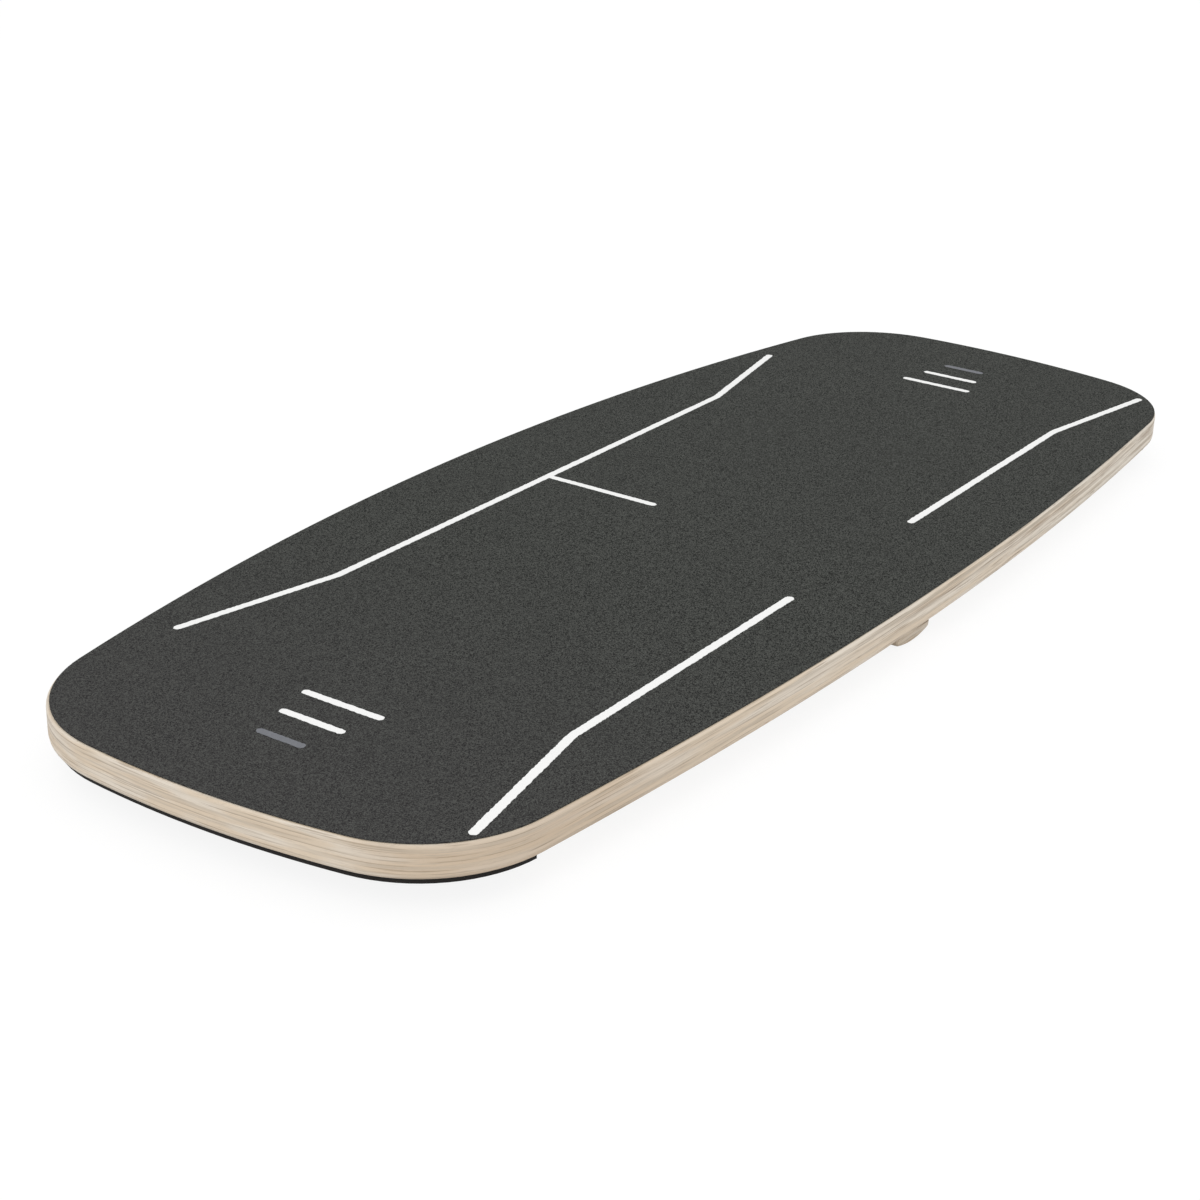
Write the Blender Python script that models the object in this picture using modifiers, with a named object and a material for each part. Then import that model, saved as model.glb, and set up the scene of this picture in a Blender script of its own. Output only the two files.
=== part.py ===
"""Golf balance board: a plywood deck with a grip sheet on top, a crowned plywood rocker
bar across its middle underneath, and a thin rubber pad under each end.

Metres, +Z up. +X runs along the board, +Y points to the toe side, -Y to the heel side.
The origin is on the floor, under the middle of the deck, where the rocker touches it.
"""

import math

import bmesh
import bpy
from mathutils import Vector

# Deck outline: two long bowed sides, two bowed ends, four corner arcs
DECK_LENGTH = 0.800
DECK_WIDTH = 0.320
TOE_BOW = 0.049  # how far the toe side falls back from its middle to the ends
HEEL_BOW = 0.025
END_RADIUS = 0.522
END_APEX = 0.017  # each end's furthest point lies this far towards the toe side
TOE_CORNER_RADIUS = 0.076
HEEL_CORNER_RADIUS = 0.072

# One plywood sheet gives the deck and the rocker
SHEET_THICKNESS = 0.017
TOP_EDGE_RADIUS = 0.0015
UNDER_EDGE_RADIUS = 0.0035
SEAM = 0.0003  # glue line or fit gap between pieces that touch

# Grip sheet, laid by hand: a little towards the heel side, and turned clockwise
GRIP_THICKNESS = 0.0005
GRIP_SHIFT = 0.0005
GRIP_TURN_DEGREES = 0.1

# Rocker: a flat-topped bar across the board, crowned underneath
ROCKER_WIDTH = 0.036
ROCKER_CROWN_RADIUS = 0.062
ROCKER_EDGE_RADIUS = 0.0025  # its two long lower edges
ROCKER_END_INSET = 0.0124  # from the deck's edge to the rocker's end face
ROCKER_END_RADIUS = 0.0015

# End pads
PAD_THICKNESS = 0.0024
PAD_LENGTH = 0.073  # from the end of the deck to the pad's straight inner edge

# Countersunk wood screws in two rows, beside the line that the rocker rolls on
SCREWS_PER_ROW = 3
SCREW_END_DISTANCE = 0.048  # from the rocker's ends to the outermost screws
SCREW_ROW_SPACING = 0.016
SCREW_HEAD_DIAMETER = 0.009
SCREW_SHANK_DIAMETER = 0.0045
SCREW_HEAD_RIM = 0.0005
SCREW_POINT_LENGTH = 0.005
SCREW_HEAD_RECESS = 0.0037  # how deep each head sits in the rocker's crown
SCREW_TIP_COVER = 0.0035  # wood left between a screw's tip and the deck's top
DRIVE_SLOT_LENGTH = 0.0044
DRIVE_SLOT_WIDTH = 0.0010
DRIVE_SLOT_DEPTH = 0.0014

# Fineness of the arcs
SIDE_STEPS = 18
END_STEPS = 16
CORNER_STEPS = 16
CROWN_STEPS = 13  # an odd count leaves a narrow facet level at the bottom
EDGE_STEPS = 4
TURNED_STEPS = 24
WELD = 0.00001
FLAT_WITHIN_DEGREES = 0.05  # faces that meet flatter than this become one face
SHARP_FROM_DEGREES = 35  # edges that turn more than this are shaded sharp

# Heights
deck_underside = SHEET_THICKNESS + SEAM
deck_top = deck_underside + SHEET_THICKNESS
grip_underside = deck_top + SEAM
grip_top = grip_underside + GRIP_THICKNESS
pad_top = deck_underside - SEAM
pad_underside = pad_top - PAD_THICKNESS

half_length = DECK_LENGTH / 2
half_width = DECK_WIDTH / 2
rocker_length = DECK_WIDTH - 2 * ROCKER_END_INSET


def clear_scene():
    for obj in list(bpy.data.objects):
        bpy.data.objects.remove(obj, do_unlink=True)


def new_collection(name):
    collection = bpy.data.collections.new(name)
    bpy.context.scene.collection.children.link(collection)
    return collection


def material(name, srgb, roughness, metallic=0.0):
    """A Principled material whose colour is given as 8-bit sRGB."""
    mat = bpy.data.materials.new(name)
    mat.use_nodes = True
    shader = mat.node_tree.nodes["Principled BSDF"]
    linear = [((value / 255 + 0.055) / 1.055) ** 2.4 for value in srgb]
    shader.inputs["Base Color"].default_value = (*linear, 1.0)
    shader.inputs["Roughness"].default_value = roughness
    shader.inputs["Metallic"].default_value = metallic
    mat.diffuse_color = (*linear, 1.0)
    return mat


# Outline geometry


def bow_radius(half_chord, rise):
    """Radius of the arc that rises this much over a chord."""
    return (half_chord**2 + rise**2) / (2 * rise)


def circle_meeting(centre_a, radius_a, centre_b, radius_b, towards):
    """The point on both circles that lies furthest in a direction."""
    between = centre_b - centre_a
    distance = between.length
    along = (distance**2 + radius_a**2 - radius_b**2) / (2 * distance)
    across = math.sqrt(radius_a**2 - along**2)
    unit = between / distance
    normal = Vector((-unit.y, unit.x))
    middle = centre_a + unit * along
    return max(middle + normal * across, middle - normal * across, key=towards.dot)


def heading(point, centre):
    return math.atan2(point.y - centre.y, point.x - centre.x)


def arc(centre, radius, start, stop, steps):
    """Points along an arc, without its last one."""
    angles = [start + (stop - start) * i / steps for i in range(steps)]
    return [centre + Vector((math.cos(a), math.sin(a))) * radius for a in angles]


def deck_outline(inset):
    """The deck's outline, moved in by an inset, from the middle of the heel side round +X."""
    toe_radius = bow_radius(half_length, TOE_BOW)
    heel_radius = bow_radius(half_length, HEEL_BOW)
    toe_centre = Vector((0, half_width - toe_radius))
    heel_centre = Vector((0, heel_radius - half_width))
    end_centre = Vector((half_length - END_RADIUS, END_APEX))
    toe_corner = circle_meeting(
        toe_centre,
        toe_radius - TOE_CORNER_RADIUS,
        end_centre,
        END_RADIUS - TOE_CORNER_RADIUS,
        Vector((1, 1)),
    )
    heel_corner = circle_meeting(
        heel_centre,
        heel_radius - HEEL_CORNER_RADIUS,
        end_centre,
        END_RADIUS - HEEL_CORNER_RADIUS,
        Vector((1, -1)),
    )
    heel_join = heading(heel_corner, heel_centre)
    heel_turn = heading(heel_corner, end_centre)
    toe_turn = heading(toe_corner, end_centre)
    toe_join = heading(toe_corner, toe_centre)
    right = arc(heel_centre, heel_radius - inset, -math.pi / 2, heel_join, SIDE_STEPS)
    right += arc(heel_corner, HEEL_CORNER_RADIUS - inset, heel_join, heel_turn, CORNER_STEPS)
    right += arc(end_centre, END_RADIUS - inset, heel_turn, toe_turn, END_STEPS)
    right += arc(toe_corner, TOE_CORNER_RADIUS - inset, toe_turn, toe_join, CORNER_STEPS)
    right += arc(toe_centre, toe_radius - inset, toe_join, math.pi / 2, SIDE_STEPS)
    toe_middle = [Vector((0, half_width - inset))]
    left = [Vector((-point.x, point.y)) for point in reversed(right[1:])]
    return right + toe_middle + left


# Modelling helpers


def place(obj, collection, mat):
    collection.objects.link(obj)
    if mat:
        obj.data.materials.clear()
        obj.data.materials.append(mat)
    return obj


def solid_mesh(source):
    """The evaluated mesh of an object, welded, with flat regions as single faces."""
    graph = bpy.context.evaluated_depsgraph_get()
    mesh = bpy.data.meshes.new_from_object(source.evaluated_get(graph))
    bm = bmesh.new()
    bm.from_mesh(mesh)
    bmesh.ops.remove_doubles(bm, verts=bm.verts, dist=WELD)
    flat = math.radians(FLAT_WITHIN_DEGREES)
    bmesh.ops.dissolve_limit(bm, angle_limit=flat, verts=bm.verts, edges=bm.edges)
    bmesh.ops.recalc_face_normals(bm, faces=bm.faces)
    bm.to_mesh(mesh)
    bm.free()
    return mesh


def extruded(name, points, thickness):
    """A flat outline as a filled 2D curve with thickness, made a mesh, centred on its plane."""
    curve = bpy.data.curves.new(name, "CURVE")
    curve.dimensions = "2D"
    curve.fill_mode = "BOTH"
    curve.extrude = thickness / 2
    spline = curve.splines.new("POLY")
    spline.points.add(len(points) - 1)
    for knot, point in zip(spline.points, points):
        knot.co = (point.x, point.y, 0.0, 1.0)
    spline.use_cyclic_u = True
    guide = bpy.data.objects.new(name + "_outline", curve)
    bpy.context.scene.collection.objects.link(guide)
    bpy.context.view_layer.update()
    mesh = solid_mesh(guide)
    mesh.name = name
    bpy.data.objects.remove(guide, do_unlink=True)
    return bpy.data.objects.new(name, mesh)


def round_rim(obj, height, radius, steps):
    """Rounds the edges that lie at one height of a slab, in the slab's own frame."""
    bm = bmesh.new()
    bm.from_mesh(obj.data)
    rim = [
        edge
        for edge in bm.edges
        if all(abs(vert.co.z - height) < WELD for vert in edge.verts)
    ]
    bmesh.ops.bevel(bm, geom=rim, offset=radius, segments=steps, profile=0.5, affect="EDGES")
    bm.to_mesh(obj.data)
    bm.free()


def keep_beyond(obj, x, side):
    """Cuts a piece square across the board and keeps what lies beyond the cut."""
    bm = bmesh.new()
    bm.from_mesh(obj.data)
    everything = [*bm.verts, *bm.edges, *bm.faces]
    bmesh.ops.bisect_plane(
        bm, geom=everything, plane_co=(x, 0, 0), plane_no=(side, 0, 0), clear_inner=True
    )
    open_edges = [edge for edge in bm.edges if edge.is_boundary]
    bmesh.ops.holes_fill(bm, edges=open_edges)
    bmesh.ops.recalc_face_normals(bm, faces=bm.faces)
    bm.to_mesh(obj.data)
    bm.free()


def shade(obj):
    obj.data.shade_smooth()
    obj.data.set_sharp_from_angle(angle=math.radians(SHARP_FROM_DEGREES))


def turned(name, profile):
    """A profile of (radius, height) points, top to bottom, turned about Z."""
    mesh = bpy.data.meshes.new(name)
    points = [(radius, 0.0, height) for radius, height in profile]
    mesh.from_pydata(points, [(i, i + 1) for i in range(len(points) - 1)], [])
    obj = bpy.data.objects.new(name, mesh)
    screw = obj.modifiers.new("turn", "SCREW")
    screw.axis = "Z"
    screw.steps = TURNED_STEPS
    screw.render_steps = TURNED_STEPS
    screw.use_merge_vertices = True
    screw.merge_threshold = WELD
    return obj


def cut(obj, cutter):
    boolean = obj.modifiers.new(cutter.name, "BOOLEAN")
    boolean.operation = "DIFFERENCE"
    boolean.object = cutter


def as_cutter(obj, collection):
    place(obj, collection, None)
    obj.hide_render = True
    obj.display_type = "WIRE"
    return obj


# Pieces


def make_deck(parts, mat):
    deck = extruded("deck", deck_outline(0.0), SHEET_THICKNESS)
    round_rim(deck, -SHEET_THICKNESS / 2, UNDER_EDGE_RADIUS, EDGE_STEPS)
    round_rim(deck, SHEET_THICKNESS / 2, TOP_EDGE_RADIUS, EDGE_STEPS)
    deck.location.z = (deck_underside + deck_top) / 2
    shade(deck)
    return place(deck, parts, mat)


def make_grip_sheet(parts, mat):
    """The sheet's outline is where the deck's top edge starts to round over."""
    grip = extruded("grip_sheet", deck_outline(TOP_EDGE_RADIUS), GRIP_THICKNESS)
    grip.location = (0, -GRIP_SHIFT, (grip_underside + grip_top) / 2)
    grip.rotation_euler.z = math.radians(-GRIP_TURN_DEGREES)
    shade(grip)
    return place(grip, parts, mat)


def make_end_pad(name, side, parts, mat):
    """A sheet that stops where the deck's lower edge rounds over, cut off square inwards."""
    pad = extruded(name, deck_outline(UNDER_EDGE_RADIUS), PAD_THICKNESS)
    keep_beyond(pad, side * (half_length - PAD_LENGTH), side)
    pad.location.z = (pad_underside + pad_top) / 2
    shade(pad)
    return place(pad, parts, mat)


def crown_half_angle():
    """From the crown's lowest line round to where the long edges start to round over."""
    edge_distance = ROCKER_CROWN_RADIUS - ROCKER_EDGE_RADIUS
    return math.asin((ROCKER_WIDTH / 2 - ROCKER_EDGE_RADIUS) / edge_distance)


def crown_axis_height():
    """The crown's middle facet lies on the floor, so its axis is a hair below the radius."""
    return ROCKER_CROWN_RADIUS * math.cos(crown_half_angle() / CROWN_STEPS)


def crown_height(x):
    """Height of the crown above the floor at a distance from the rocker's middle."""
    return crown_axis_height() - math.sqrt(ROCKER_CROWN_RADIUS**2 - x**2)


def rocker_section():
    """The bar seen along its length: crown, long edge, flat top, and the other long edge."""
    half = ROCKER_WIDTH / 2
    turn = crown_half_angle()
    down = -math.pi / 2
    axis = Vector((0, crown_axis_height()))
    lean = Vector((math.sin(turn), -math.cos(turn)))
    right = axis + lean * (ROCKER_CROWN_RADIUS - ROCKER_EDGE_RADIUS)
    left = Vector((-right.x, right.y))
    section = arc(axis, ROCKER_CROWN_RADIUS, down - turn, down + turn, CROWN_STEPS)
    section += arc(right, ROCKER_EDGE_RADIUS, down + turn, 0, EDGE_STEPS)
    section += [Vector((half, right.y)), Vector((half, SHEET_THICKNESS))]
    section += [Vector((-half, SHEET_THICKNESS))]
    section += arc(left, ROCKER_EDGE_RADIUS, math.pi, 3 * math.pi / 2 - turn, EDGE_STEPS)
    return section


def make_rocker(parts, mat):
    """The bar's section lies in the curve's plane, and the bar is turned to run along Y."""
    rocker = extruded("rocker_bar", rocker_section(), rocker_length)
    for end in (-rocker_length / 2, rocker_length / 2):
        round_rim(rocker, end, ROCKER_END_RADIUS, EDGE_STEPS)
    rocker.rotation_euler.x = math.radians(90)
    shade(rocker)
    return place(rocker, parts, mat)


def screw_profile(grow, drop):
    """Screw profile from tip to head, its tip up, grown all round and its head drawn down."""
    shank = SCREW_SHANK_DIAMETER / 2 + grow
    head = SCREW_HEAD_DIAMETER / 2 + grow
    length = screw_length()
    cone = head - shank
    seat = grow * math.tan(math.pi / 8)  # a 45 degree cone moved out by the gap
    return [
        (0.0, length + grow),
        (shank, length - SCREW_POINT_LENGTH + grow),
        (shank, SCREW_HEAD_RIM + cone + seat),
        (head, SCREW_HEAD_RIM + seat),
        (head, -drop),
        (0.0, -drop),
    ]


def screw_head_height():
    return crown_height(SCREW_ROW_SPACING / 2) + SCREW_HEAD_RECESS


def screw_length():
    return deck_top - SCREW_TIP_COVER - screw_head_height()


def screw_places():
    outermost = rocker_length / 2 - SCREW_END_DISTANCE
    pitch = 2 * outermost / (SCREWS_PER_ROW - 1)
    return [
        Vector((side * SCREW_ROW_SPACING / 2, i * pitch - outermost, screw_head_height()))
        for side in (-1, 1)
        for i in range(SCREWS_PER_ROW)
    ]


def drive_slot(name, turn):
    """One arm of the cross recess in a screw's head."""
    bm = bmesh.new()
    bmesh.ops.create_cube(bm, size=1.0)
    size = Vector((DRIVE_SLOT_LENGTH, DRIVE_SLOT_WIDTH, DRIVE_SLOT_DEPTH * 2))
    bmesh.ops.scale(bm, vec=size, verts=bm.verts)
    mesh = bpy.data.meshes.new(name)
    bm.to_mesh(mesh)
    bm.free()
    slot = bpy.data.objects.new(name, mesh)
    slot.rotation_euler.z = turn
    return slot


def screw_mesh(cutters):
    """A countersunk wood screw with a cross recess, as one mesh that all the screws share."""
    blank = place(turned("screw_blank", screw_profile(0.0, 0.0)), cutters, None)
    slots = [
        as_cutter(drive_slot(f"drive_slot_{i + 1}", i * math.pi / 2), cutters) for i in range(2)
    ]
    for slot in slots:
        cut(blank, slot)
    bpy.context.view_layer.update()
    mesh = solid_mesh(blank)
    for obj in [blank, *slots]:
        bpy.data.objects.remove(obj, do_unlink=True)
    return mesh


def make_screws(parts, cutters, mat, held):
    """The screws, and the seats that they need in the rocker and the deck."""
    mesh = screw_mesh(cutters)
    mesh.name = "rocker_screw"
    reach = screw_head_height() + SEAM  # from the head down past the rocker's lowest line
    for i, spot in enumerate(screw_places()):
        screw = bpy.data.objects.new(f"rocker_screw_{i + 1}", mesh)
        screw.location = spot
        place(screw, parts, mat)
        seat = turned(f"screw_seat_{i + 1}", screw_profile(SEAM, reach))
        seat.location = spot
        as_cutter(seat, cutters)
        for piece in held:
            cut(piece, seat)
    shade(screw)


def build():
    clear_scene()
    parts = new_collection("golf_balance_board")
    cutters = new_collection("cutters")
    plywood = material("plywood", (205, 190, 170), 0.6)
    grip = material("grip", (69, 70, 68), 0.95)
    rubber = material("rubber", (30, 26, 24), 0.8)
    steel = material("zinc_steel", (185, 186, 184), 0.35, 1.0)

    deck = make_deck(parts, plywood)
    make_grip_sheet(parts, grip)
    rocker = make_rocker(parts, plywood)
    make_end_pad("end_pad_near", -1, parts, rubber)
    make_end_pad("end_pad_far", 1, parts, rubber)
    make_screws(parts, cutters, steel, [rocker, deck])
    bpy.context.view_layer.update()


build()
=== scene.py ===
"""Balance board: materials, printed lines, floor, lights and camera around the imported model.

Metres, +Z up. +X runs along the board, +Y points to the toe side.
"""

import math
import random

import bmesh
import bpy
from mathutils import Matrix, Vector


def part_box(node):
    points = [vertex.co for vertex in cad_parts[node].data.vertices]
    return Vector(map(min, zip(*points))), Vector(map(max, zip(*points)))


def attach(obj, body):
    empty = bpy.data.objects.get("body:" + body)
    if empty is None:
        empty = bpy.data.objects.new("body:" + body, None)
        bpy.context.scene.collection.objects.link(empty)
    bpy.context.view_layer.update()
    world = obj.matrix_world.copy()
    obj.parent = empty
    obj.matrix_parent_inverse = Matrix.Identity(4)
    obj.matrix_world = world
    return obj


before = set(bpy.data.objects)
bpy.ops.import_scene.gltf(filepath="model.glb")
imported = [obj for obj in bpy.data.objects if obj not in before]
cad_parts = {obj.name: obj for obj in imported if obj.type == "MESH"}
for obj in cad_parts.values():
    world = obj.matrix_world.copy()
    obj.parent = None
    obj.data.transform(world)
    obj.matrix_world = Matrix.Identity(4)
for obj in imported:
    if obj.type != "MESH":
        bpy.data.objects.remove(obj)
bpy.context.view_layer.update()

MM = 0.001
grip_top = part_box("grip_sheet")[1].z

# Camera, solved from the board's outline and its lines
CAMERA_PLACE = Vector((-0.98887, -0.62150, 0.49332))
CAMERA_FORWARD = Vector((0.75561, 0.51754, -0.40149))
CAMERA_RIGHT = Vector((0.57468, -0.81792, 0.02722))
CAMERA_LENS = 66.86
CAMERA_SENSOR = 36.0
CAMERA_NEAREST = 0.05
CAMERA_FARTHEST = 50.0

# Floor and lights
FLOOR_HALF = 8.0
FLOOR_COLOUR = 0.86
FLOOR_SHOWN = 0.17  # share of the floor's own light and shadow in what the camera sees
FLOOR_GLOW = 0.88
WORLD_STRENGTH = 0.78
KEY_PLACE = (-2.0, -0.8, 2.5)
KEY_SIZE = 2.2
KEY_WATTS = 23
FILL_PLACE = (1.8, -1.2, 2.4)
FILL_SIZE = 2.4
FILL_WATTS = 8

# Printed lines, before the print's small shift and turn on the board
PRINT_SHIFT = 0.00325
PRINT_TURN = math.radians(0.607)
LINE_WIDTH = 0.0044
NEAR_HEEL_LINE_WIDTH = 0.0048
TOE_LINE_Y = 0.0967
TOE_BEND_X = 0.1876
TOE_END = Vector((0.2862, 0.1154))
CENTRE_MARK_FOOT_Y = 0.0236
HEEL_LINE_Y = -0.1056
HEEL_START_X = 0.0682
HEEL_BEND_X = 0.2628
HEEL_END = Vector((0.3589, -0.1235))
TICK_LENGTHS = (0.044, 0.034, 0.024)
TICK_FIRST_X = 0.302
TICK_PITCH = 0.021
TICK_MIDDLE_Y = -0.004
PAINT_LIFT = 0.00004
PAINT_THICKNESS = 0.00008
PAINT_STEP = 0.0012
PAINT_RAGGED = 0.00022
ROUND_END_STEPS = 10

# Sizes in the materials, in millimetres
PLY = 2.0
FACE_PLY = 1.5
PLY_WANDER = 1.1
WOOD_PER_PLY = 7.3  # how far apart two plies read the same wood
GLUE_SHARE = 0.16  # of a ply, on each side of a glue line
GRAIN = 0.43
CLUSTER = 0.9
CLUSTER_SHARE = 0.14
FAR_LIVELINESS = 1.7  # the far half has the livelier edge
ROCKER_LIVELINESS = 1.5

# Colours, as 8-bit sRGB
WOOD_MEAN = (212, 200, 184)
EDGE_PALE = (228, 217, 202)
EDGE_WARM = (221, 204, 182)
EDGE_FAR = (229, 222, 210)
EDGE_NEAR_HEEL = (196, 173, 147)
EDGE_GREY = (186, 173, 156)
EDGE_DARK = (143, 123, 101)
VEIN = (150, 128, 105)
GLUE = (146, 124, 99)
FLECK = (132, 92, 62)
FACE_PALE = (226, 214, 197)
FACE_WARM = (218, 201, 177)
FACE_STREAK = (192, 172, 146)
FACE_PORE = (158, 136, 110)
GRIT_MEAN = (62, 63, 61)
GRIT_DARK = (8, 9, 8)
GRIT_PALE = (84, 86, 82)
GRIT_CLOUD = (52, 53, 51)
# painted light: tints the grip's near end paler
GRIT_NEAR_END_PAINTED_LIGHT = (69, 65, 68)
WHITE_INK = (250, 250, 249)
GREY_INK = (109, 111, 117)
# painted shade: the print's colour down in the hollows between grains
INK_PAINTED_SHADE = (150, 150, 148)
INK_WORN = (90, 90, 88)
RUBBER_MEAN = (27, 24, 22)
RUBBER_CLEAN = (24, 21, 19)
RUBBER_DUSTY = (44, 40, 37)
ZINC_MEAN = (190, 191, 188)
ZINC_BRIGHT = (198, 199, 196)
ZINC_DULL = (160, 158, 150)


# Node helpers


def linear(srgb):
    """8-bit sRGB as linear RGBA."""
    return (*[((v / 255 + 0.055) / 1.055) ** 2.4 for v in srgb], 1.0)


class Shading:
    """A Principled material, with short calls for its nodes. Lengths are millimetres."""

    def __init__(self, name, srgb, roughness, specular, metallic=0.0):
        self.mat = bpy.data.materials.new(name)
        self.mat.use_nodes = True
        self.mat.diffuse_color = linear(srgb)
        self.tree = self.mat.node_tree
        self.shader = self.tree.nodes["Principled BSDF"]
        self.shader.inputs["Base Color"].default_value = linear(srgb)
        self.shader.inputs["Roughness"].default_value = roughness
        self.shader.inputs["Specular IOR Level"].default_value = specular
        self.shader.inputs["Metallic"].default_value = metallic
        place = self.tree.nodes.new("ShaderNodeTexCoord").outputs["Object"]
        self.place = self.vector("MULTIPLY", place, (1 / MM, 1 / MM, 1 / MM))

    def feed(self, socket, value):
        if isinstance(value, bpy.types.NodeSocket):
            self.tree.links.new(value, socket)
        else:
            socket.default_value = value

    def maths(self, operation, a, b=0.0):
        node = self.tree.nodes.new("ShaderNodeMath")
        node.operation = operation
        self.feed(node.inputs[0], a)
        self.feed(node.inputs[1], b)
        return node.outputs[0]

    def times(self, a, b):
        return self.maths("MULTIPLY", a, b)

    def vector(self, operation, a, b):
        node = self.tree.nodes.new("ShaderNodeVectorMath")
        node.operation = operation
        self.feed(node.inputs[0], a)
        self.feed(node.inputs[1], b)
        return node.outputs[0]

    def parts(self, vector):
        node = self.tree.nodes.new("ShaderNodeSeparateXYZ")
        self.feed(node.inputs[0], vector)
        return node.outputs

    def joined(self, x, y, z):
        node = self.tree.nodes.new("ShaderNodeCombineXYZ")
        for socket, value in zip(node.inputs, (x, y, z)):
            self.feed(socket, value)
        return node.outputs[0]

    def scaled_place(self, size, place=None):
        """Place in units of a size: one number, or one for each axis."""
        sizes = size if isinstance(size, tuple) else (size, size, size)
        return self.vector("DIVIDE", place or self.place, sizes)

    def noise(self, size, detail, rough=0.5, place=None, offset=(0, 0, 0)):
        """Noise whose features are about as large as the size."""
        spot = self.vector("ADD", self.scaled_place(size, place), offset)
        node = self.tree.nodes.new("ShaderNodeTexNoise")
        self.feed(node.inputs["Vector"], spot)
        node.inputs["Scale"].default_value = 1.0
        node.inputs["Detail"].default_value = detail
        node.inputs["Roughness"].default_value = rough
        return node.outputs["Fac"]

    def cells(self, size):
        """For cells of about this size: distance from the middle, and a number for each cell."""
        node = self.tree.nodes.new("ShaderNodeTexVoronoi")
        self.feed(node.inputs["Vector"], self.scaled_place(size))
        node.inputs["Scale"].default_value = 1.0
        return node.outputs["Distance"], self.parts(node.outputs["Color"])[0]

    def span(self, value, low, high, to_low=0.0, to_high=1.0, smooth=True):
        """Carries the range from low to high over to another one, and holds it at both ends."""
        node = self.tree.nodes.new("ShaderNodeMapRange")
        node.interpolation_type = "SMOOTHSTEP" if smooth else "LINEAR"
        node.clamp = True
        self.feed(node.inputs["Value"], value)
        node.inputs["From Min"].default_value = low
        node.inputs["From Max"].default_value = high
        node.inputs["To Min"].default_value = to_low
        node.inputs["To Max"].default_value = to_high
        return node.outputs["Result"]

    def mix(self, factor, a, b):
        node = self.tree.nodes.new("ShaderNodeMix")
        node.data_type = "RGBA"
        self.feed(node.inputs[0], factor)
        self.feed(node.inputs[6], a)
        self.feed(node.inputs[7], b)
        return node.outputs[2]

    def between(self, factor, srgb_a, srgb_b):
        return self.mix(factor, linear(srgb_a), linear(srgb_b))

    def over(self, base, srgb, amount):
        """Lays a colour over what is there, by an amount from 0 to 1."""
        return self.mix(amount, base, linear(srgb))

    def colour(self, value):
        self.feed(self.shader.inputs["Base Color"], value)

    def roughness(self, value):
        self.feed(self.shader.inputs["Roughness"], value)

    def bump(self, height, depth, strength):
        """A bump whose height, from 0 to 1, stands for this depth."""
        node = self.tree.nodes.new("ShaderNodeBump")
        node.inputs["Strength"].default_value = strength
        node.inputs["Distance"].default_value = depth * MM
        self.feed(node.inputs["Height"], height)
        self.feed(self.shader.inputs["Normal"], node.outputs[0])


# Plywood


def veneer(m, along, across, z):
    """The face of a sheet: long soft streaks and fine pores along the grain."""
    spot = m.joined(along, across, m.times(z, 0.1))
    broad = m.noise((210, 13, 9), 3.0, 0.6, spot, (4, 2, 7))
    pores = m.noise((30, 0.9, 9), 2.5, 0.6, spot, (1, 3, 2))
    rings = m.noise((420, 46, 30), 1.0, 0.5, spot, (8, 5, 3))
    base = m.between(m.span(rings, 0.36, 0.64), FACE_PALE, FACE_WARM)
    base = m.over(base, FACE_STREAK, m.span(broad, 0.46, 0.70, 0.0, 0.50))
    return m.over(base, FACE_PORE, m.span(pores, 0.54, 0.74, 0.0, 0.40))


def plies(m, x, y, z, sheet_top):
    """Depth under the sheet's top, share of the ply, 1 in cross plies, and the grain's place."""
    wander = m.times(m.maths("SUBTRACT", m.noise((70, 70, 400), 1.5), 0.5), PLY_WANDER)
    depth = m.maths("ADD", m.maths("SUBTRACT", sheet_top / MM, z), wander)
    ply = m.maths("DIVIDE", m.maths("ADD", depth, PLY - FACE_PLY), PLY)
    index = m.maths("FLOOR", ply)
    crossing = m.maths("MODULO", index, 2.0)
    # X and Y change over in the cross plies
    height = m.maths("ADD", z, m.times(index, WOOD_PER_PLY))
    grain_place = m.mix(crossing, m.joined(x, y, height), m.joined(y, x, height))
    return depth, m.maths("FRACT", ply), crossing, grain_place


def edge_ground(m, x, y):
    """Clouded wood, more neutral towards the far end and browner at the near heel corner."""
    patch = m.noise((90, 34, 5.0), 1.5, 0.5, None, (11, 7, 2))
    base = m.between(m.span(patch, 0.40, 0.62), EDGE_PALE, EDGE_WARM)
    base = m.over(base, EDGE_FAR, m.span(x, -100, 380, 0.0, 0.65))
    near_heel = m.times(m.span(y, -130, -70, 1.0, 0.0), m.span(x, -330, -190, 0.55, 0.0))
    return m.over(base, EDGE_NEAR_HEEL, near_heel)


def edge_marks(m, base, x, crossing, streak, fine, lively):
    """End grain of the cross plies, streaks, fibres and cracks."""
    band = m.noise((65, 65, 1.8), 2.5, 0.6, None, (5, 3, 8))
    crack = m.noise((50, 50, 0.75), 2.0, 0.5, None, (2, 6, 1))
    stronger = m.span(x, -200, 250, lively, lively * FAR_LIVELINESS)
    for srgb, amount in (
        (EDGE_GREY, m.times(crossing, m.span(band, 0.38, 0.66, 0.06, 0.60))),
        (EDGE_GREY, m.span(streak, 0.52, 0.70, 0.0, 0.50)),
        (EDGE_DARK, m.span(fine, 0.50, 0.80, 0.0, 0.22)),
        (EDGE_DARK, m.span(crack, 0.60, 0.70, 0.0, 0.60)),
    ):
        base = m.over(base, srgb, m.times(amount, stronger))
    return base


def vein(m, x, depth):
    """A broken brown vein along the third ply, strongest in the far half."""
    broken = m.span(m.noise((48, 48, 0.9), 3.0, 0.65, None, (9, 4, 6)), 0.44, 0.62)
    inside = m.times(m.span(depth, 3.2, 4.2), m.span(depth, 5.2, 6.4, 1.0, 0.0))
    return m.times(broken, m.times(inside, m.span(x, -200, 100, 0.15, 0.75)))


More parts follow.
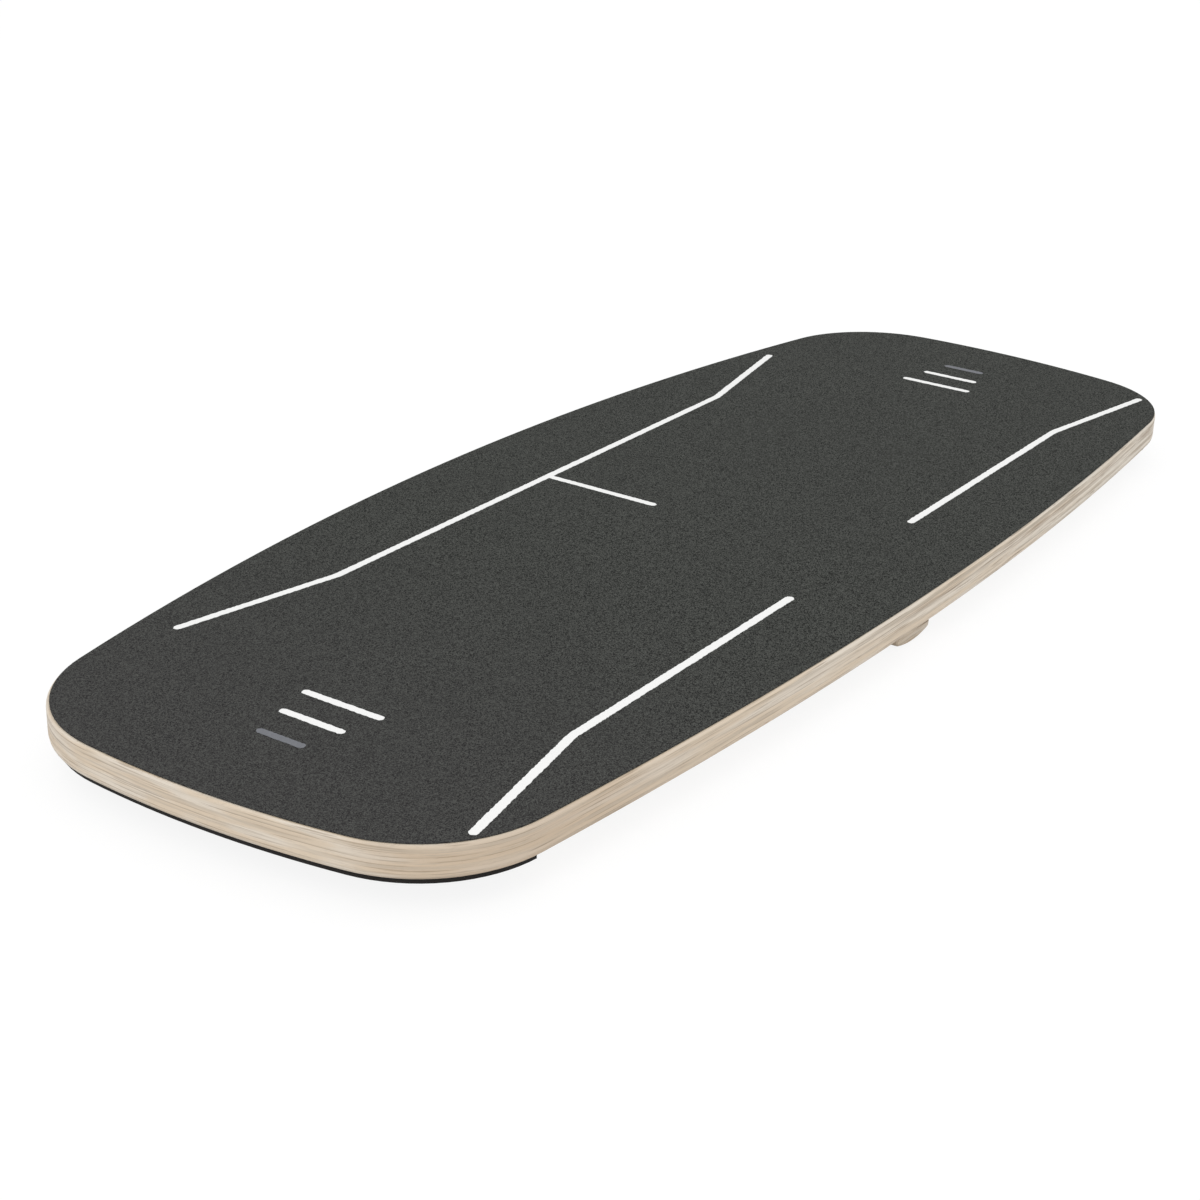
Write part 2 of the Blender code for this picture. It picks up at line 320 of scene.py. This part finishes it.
def glue_lines(m, within):
    """Dark lines between the plies, which come and go along the edge."""
    nearest = m.maths("MINIMUM", within, m.maths("SUBTRACT", 1.0, within))
    comes_and_goes = m.span(m.noise((38, 38, 2.5), 2.0), 0.46, 0.62, 0.0, 0.62)
    return m.times(m.span(nearest, 0.0, GLUE_SHARE, 1.0, 0.0), comes_and_goes)


def flecks(m):
    """Brown flecks and small knots, few and far between."""
    distance, lot = m.cells((40, 40, 6.0))
    return m.times(m.span(distance, 0.0, 0.09, 0.7, 0.0), m.span(lot, 0.80, 0.82))


def plywood(name, sheet_top, face_along_x=True, lively=1.0):
    """Solid plywood: plies by height, their grain turned by turns along X and along Y."""
    m = Shading(name, WOOD_MEAN, 0.6, 0.3)
    x, y, z = m.parts(m.place)
    depth, within, crossing, grain_place = plies(m, x, y, z, sheet_top)
    streak = m.noise((55, 16, 0.9), 3.0, 0.6, grain_place)
    fine = m.noise((16, 2.2, 0.32), 2.5, 0.65, grain_place, (3, 1, 5))

    base = edge_marks(m, edge_ground(m, x, y), x, crossing, streak, fine, lively)
    base = m.over(base, VEIN, vein(m, x, depth))
    base = m.over(base, GLUE, glue_lines(m, within))
    base = m.over(base, FLECK, flecks(m))
    # the flat faces show a whole veneer, not the plies' edges
    normal = m.tree.nodes.new("ShaderNodeNewGeometry").outputs["Normal"]
    flat = m.span(m.maths("ABSOLUTE", m.parts(normal)[2]), 0.80, 0.97)
    along, across = (x, y) if face_along_x else (y, x)
    m.colour(m.mix(flat, base, veneer(m, along, across, z)))
    m.roughness(m.span(fine, 0.2, 0.8, 0.52, 0.68))
    m.bump(m.maths("ADD", m.times(fine, 0.7), m.times(streak, 0.3)), 0.10, 0.4)
    return m.mat


# The other materials


def grit(m):
    """Height of the abrasive grains, from 0 to 1, and a number for each grain."""
    distance, lot = m.cells(GRAIN)
    return m.span(distance, 0.0, 0.75, 1.0, 0.0), lot


def grip_material():
    m = Shading("grip", GRIT_MEAN, 0.92, 0.15)
    dome, lot = grit(m)
    heap = m.cells(CLUSTER)[1]
    both = m.maths("ADD", m.times(lot, 1 - CLUSTER_SHARE), m.times(heap, CLUSTER_SHARE))
    tone = m.between(m.span(both, 0.10, 0.90), GRIT_DARK, GRIT_PALE)
    tone = m.over(tone, GRIT_CLOUD, m.span(m.noise(55, 2.0), 0.3, 0.7, 0.0, 0.10))
    # painted light: the near end is painted a little paler and more even, though the sheet is the
    # same all over
    tone = m.over(tone, GRIT_NEAR_END_PAINTED_LIGHT, m.span(m.parts(m.place)[0], -420, -60, 0.28, 0.0))
    m.colour(tone)
    m.roughness(m.span(lot, 0.0, 1.0, 0.98, 0.86, smooth=False))
    m.bump(dome, 0.12, 0.5)
    return m.mat


def paint_material(name, srgb, worn):
    """Screen print over the grit, worn through on a few grains."""
    m = Shading(name, srgb, 0.62, 0.35)
    dome, lot = grit(m)
    patch = m.noise(2.2, 3.0, 0.6)
    pins = m.times(m.span(lot, 0.93, 0.95), m.span(patch, 0.60, 0.78, 0.0, worn))
    # painted shade: the ink is painted a little darker down in the hollows between the grains
    shade = m.between(m.span(dome, 0.0, 0.6, 0.05, 0.0), srgb, INK_PAINTED_SHADE)
    m.colour(m.over(shade, INK_WORN, pins))
    m.roughness(m.span(patch, 0.3, 0.7, 0.55, 0.72))
    m.bump(dome, 0.08, 0.4)
    return m.mat


def rubber_material():
    """Matt rubber with a little dust."""
    m = Shading("rubber", RUBBER_MEAN, 0.8, 0.3)
    fine = m.noise(0.5, 3.0, 0.6)
    dust = m.span(m.noise(14, 2.0), 0.45, 0.75, 0.0, 0.35)
    m.colour(m.between(dust, RUBBER_CLEAN, RUBBER_DUSTY))
    m.roughness(m.span(fine, 0.25, 0.75, 0.70, 0.90))
    m.bump(fine, 0.08, 0.6)
    return m.mat


def steel_material():
    """Zinc plate with faint turning marks and dull spots."""
    m = Shading("zinc_steel", ZINC_MEAN, 0.34, 0.5, 1.0)
    marks = m.noise((0.25, 0.25, 0.06), 2.0)
    dull = m.noise(1.1, 3.0, 0.6)
    m.colour(m.between(m.span(dull, 0.4, 0.7), ZINC_BRIGHT, ZINC_DULL))
    m.roughness(m.span(dull, 0.3, 0.7, 0.26, 0.46))
    m.bump(marks, 0.03, 0.4)
    return m.mat


# Printed lines


def on_board(point):
    """A point of the print, where the print lies on the board."""
    return Matrix.Rotation(PRINT_TURN, 2) @ point + Vector((PRINT_SHIFT, 0))


def resampled(points):
    """A polyline's points with others between them, about one paint step apart."""
    out = []
    for a, b in zip(points, points[1:]):
        count = max(1, round((b - a).length / PAINT_STEP))
        out += [a.lerp(b, i / count) for i in range(count)]
    return [*out, points[-1]]


def left_of(along):
    return Vector((-along.y, along.x))


def normal_at(points, i):
    before = points[max(i - 1, 0)]
    after = points[min(i + 1, len(points) - 1)]
    return left_of((after - before).normalized())


def ragged(half, rng):
    """Half a stroke's width, a little more or less."""
    return half + rng.uniform(-1, 1) * PAINT_RAGGED


def round_end(tip, along, half, rng):
    """Points round a line's end, from its left side to its right side."""
    out = []
    for i in range(1, ROUND_END_STEPS):
        turn = math.pi * i / ROUND_END_STEPS
        direction = left_of(along) * math.cos(turn) + along * math.sin(turn)
        out.append(tip + direction * ragged(half, rng))
    return out


def stroke_sides(points, width, rng):
    """Left side, right side, head and tail of a round-ended stroke along a polyline."""
    half = width / 2
    path = resampled(points)
    left = []
    right = []
    for i, point in enumerate(path):
        normal = normal_at(path, i)
        left.append(point + normal * ragged(half, rng))
        right.append(point - normal * ragged(half, rng))
    head = round_end(path[-1], (path[-1] - path[-2]).normalized(), half, rng)
    tail = round_end(path[0], (path[0] - path[1]).normalized(), half, rng)
    return left, right, head, tail


def stroke_faces(sides):
    """Faces across a stroke, its two round ends last."""
    left, right, head, tail = sides
    faces = [(right[i], right[i + 1], left[i + 1], left[i]) for i in range(len(left) - 1)]
    faces.append((right[-1], *reversed(head), left[-1]))
    faces.append((left[0], *reversed(tail), right[0]))
    return faces


def stroke_rim(sides):
    """All the way round a stroke, up its right side and back down its left side."""
    left, right, head, tail = sides
    return [*right, *reversed(head), *reversed(left), *reversed(tail)]


def printed(name, points, width, mat, seed, lift=PAINT_LIFT):
    """A thin closed strip of paint on the grip sheet."""
    sides = stroke_sides([on_board(point) for point in points], width, random.Random(seed))
    underside = grip_top + lift
    bm = bmesh.new()
    low, high = (
        [[bm.verts.new((p.x, p.y, z)) for p in side] for side in sides]
        for z in (underside, underside + PAINT_THICKNESS)
    )
    for face in stroke_faces(high):
        bm.faces.new(face)
    for face in stroke_faces(low):
        bm.faces.new(tuple(reversed(face)))
    low_rim = stroke_rim(low)
    high_rim = stroke_rim(high)
    for i in range(len(low_rim)):
        j = (i + 1) % len(low_rim)
        bm.faces.new((low_rim[i], low_rim[j], high_rim[j], high_rim[i]))
    bmesh.ops.recalc_face_normals(bm, faces=bm.faces)
    mesh = bpy.data.meshes.new(name)
    bm.to_mesh(mesh)
    bm.free()
    obj = linked(name, mesh)
    mesh.materials.append(mat)
    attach(obj, "root")


def linked(name, data):
    """A new object in the scene."""
    obj = bpy.data.objects.new(name, data)
    bpy.context.scene.collection.objects.link(obj)
    return obj


def make_toe_line(white):
    toe = [
        Vector((-TOE_END.x, TOE_END.y)),
        Vector((-TOE_BEND_X, TOE_LINE_Y)),
        Vector((TOE_BEND_X, TOE_LINE_Y)),
        TOE_END,
    ]
    printed("toe_line", toe, LINE_WIDTH, white, 11)
    centre = [Vector((0, TOE_LINE_Y - LINE_WIDTH / 4)), Vector((0, CENTRE_MARK_FOOT_Y))]
    printed("centre_mark", centre, LINE_WIDTH, white, 12, PAINT_LIFT / 2)


def make_half_print(side, tag, heel_width, seed, white, grey):
    """The heel line and the three ticks of one half of the board."""
    heel = [
        Vector((side * HEEL_START_X, HEEL_LINE_Y)),
        Vector((side * HEEL_BEND_X, HEEL_LINE_Y)),
        Vector((side * HEEL_END.x, HEEL_END.y)),
    ]
    printed(f"heel_line_{tag}", heel, heel_width, white, seed)
    for i, length in enumerate(TICK_LENGTHS):
        x = side * (TICK_FIRST_X + i * TICK_PITCH)
        ends = [Vector((x, TICK_MIDDLE_Y + end * length / 2)) for end in (-1, 1)]
        ink = grey if i == len(TICK_LENGTHS) - 1 else white
        printed(f"stance_tick_{tag}_{i + 1}", ends, LINE_WIDTH, ink, seed + i + 1)


def make_print():
    white = paint_material("white_print", WHITE_INK, 0.4)
    grey = paint_material("grey_print", GREY_INK, 0.5)
    make_toe_line(white)
    make_half_print(-1, "near", NEAR_HEEL_LINE_WIDTH, 20, white, grey)
    make_half_print(1, "far", LINE_WIDTH, 30, white, grey)


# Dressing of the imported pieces


def dress(name, mat):
    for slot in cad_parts[name].material_slots:
        slot.material = mat


def dress_all():
    deck_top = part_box("deck")[1].z
    rocker_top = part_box("rocker_bar")[1].z
    dress("deck", plywood("plywood_deck", deck_top))
    dress("rocker_bar", plywood("plywood_rocker", rocker_top, False, ROCKER_LIVELINESS))
    dress("grip_sheet", grip_material())
    rubber = rubber_material()
    dress("end_pad_near", rubber)
    dress("end_pad_far", rubber)
    steel = steel_material()
    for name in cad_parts:
        if name.startswith("rocker_screw"):
            dress(name, steel)


# Floor, lights and camera


def seen_directly(tree):
    """1 for camera, glossy and transmission rays, 0 for the light that falls on the object."""
    rays = tree.nodes.new("ShaderNodeLightPath")
    total = rays.outputs["Is Camera Ray"]
    for kind in ("Is Glossy Ray", "Is Transmission Ray"):
        step = tree.nodes.new("ShaderNodeMath")
        step.operation = "MAXIMUM"
        tree.links.new(total, step.inputs[0])
        tree.links.new(rays.outputs[kind], step.inputs[1])
        total = step.outputs[0]
    return total


def grey_diffuse(tree, level):
    node = tree.nodes.new("ShaderNodeBsdfDiffuse")
    node.inputs["Color"].default_value = (level, level, level, 1.0)
    return node.outputs[0]


def mixed_shader(tree, factor, a, b):
    node = tree.nodes.new("ShaderNodeMixShader")
    for socket, value in zip(node.inputs, (factor, a, b)):
        tree.links.new(value, socket)
    return node.outputs[0]


def floor_material():
    """Plain pale grey for the light on the object, and nearly white where it is seen directly."""
    mat = bpy.data.materials.new("floor")
    mat.use_nodes = True
    tree = mat.node_tree
    tree.nodes.clear()
    plain = grey_diffuse(tree, FLOOR_COLOUR)
    glow = tree.nodes.new("ShaderNodeEmission")
    glow.inputs["Strength"].default_value = FLOOR_GLOW
    shown = tree.nodes.new("ShaderNodeAddShader")
    tree.links.new(grey_diffuse(tree, FLOOR_COLOUR * FLOOR_SHOWN), shown.inputs[0])
    tree.links.new(glow.outputs[0], shown.inputs[1])
    surface = mixed_shader(tree, seen_directly(tree), plain, shown.outputs[0])
    # the floor shows from above only
    from_below = tree.nodes.new("ShaderNodeNewGeometry").outputs["Backfacing"]
    clear = tree.nodes.new("ShaderNodeBsdfTransparent").outputs[0]
    out = tree.nodes.new("ShaderNodeOutputMaterial")
    tree.links.new(mixed_shader(tree, from_below, surface, clear), out.inputs["Surface"])
    return mat


def make_floor():
    mesh = bpy.data.meshes.new("floor")
    h = FLOOR_HALF
    mesh.from_pydata([(-h, -h, 0), (h, -h, 0), (h, h, 0), (-h, h, 0)], [], [(0, 1, 2, 3)])
    mesh.materials.append(floor_material())
    floor = linked("floor", mesh)


def make_world():
    world = bpy.data.worlds.new("studio")
    bpy.context.scene.world = world
    world.use_nodes = True
    tree = world.node_tree
    background = tree.nodes["Background"]
    background.inputs["Color"].default_value = (1.0, 1.0, 1.0, 1.0)
    strength = tree.nodes.new("ShaderNodeMapRange")
    strength.inputs["To Min"].default_value = WORLD_STRENGTH
    strength.inputs["To Max"].default_value = 1.0
    tree.links.new(seen_directly(tree), strength.inputs["Value"])
    tree.links.new(strength.outputs["Result"], background.inputs["Strength"])


def make_lamp(name, place, size, watts):
    """A round soft light, aimed at the board's middle."""
    light = bpy.data.lights.new(name, "AREA")
    light.shape = "DISK"
    light.size = size
    light.energy = watts
    obj = linked(name, light)
    obj.location = place
    obj.rotation_mode = "QUATERNION"
    obj.rotation_quaternion = (-Vector(place)).to_track_quat("-Z", "Y")


def make_camera():
    data = bpy.data.cameras.new("camera")
    data.sensor_fit = "HORIZONTAL"
    data.sensor_width = CAMERA_SENSOR
    data.lens = CAMERA_LENS
    data.clip_start = CAMERA_NEAREST
    data.clip_end = CAMERA_FARTHEST
    obj = linked("camera", data)
    forward = CAMERA_FORWARD.normalized()
    right = (CAMERA_RIGHT - forward * CAMERA_RIGHT.dot(forward)).normalized()
    up = right.cross(forward)
    turn = Matrix((right, up, -forward)).transposed()
    obj.matrix_world = Matrix.Translation(CAMERA_PLACE) @ turn.to_4x4()
    bpy.context.scene.camera = obj


dress_all()
make_print()
make_floor()
make_world()
make_lamp("key", KEY_PLACE, KEY_SIZE, KEY_WATTS)
make_lamp("fill", FILL_PLACE, FILL_SIZE, FILL_WATTS)
make_camera()
bpy.context.scene.view_settings.view_transform = "Standard"

bpy.context.view_layer.update()
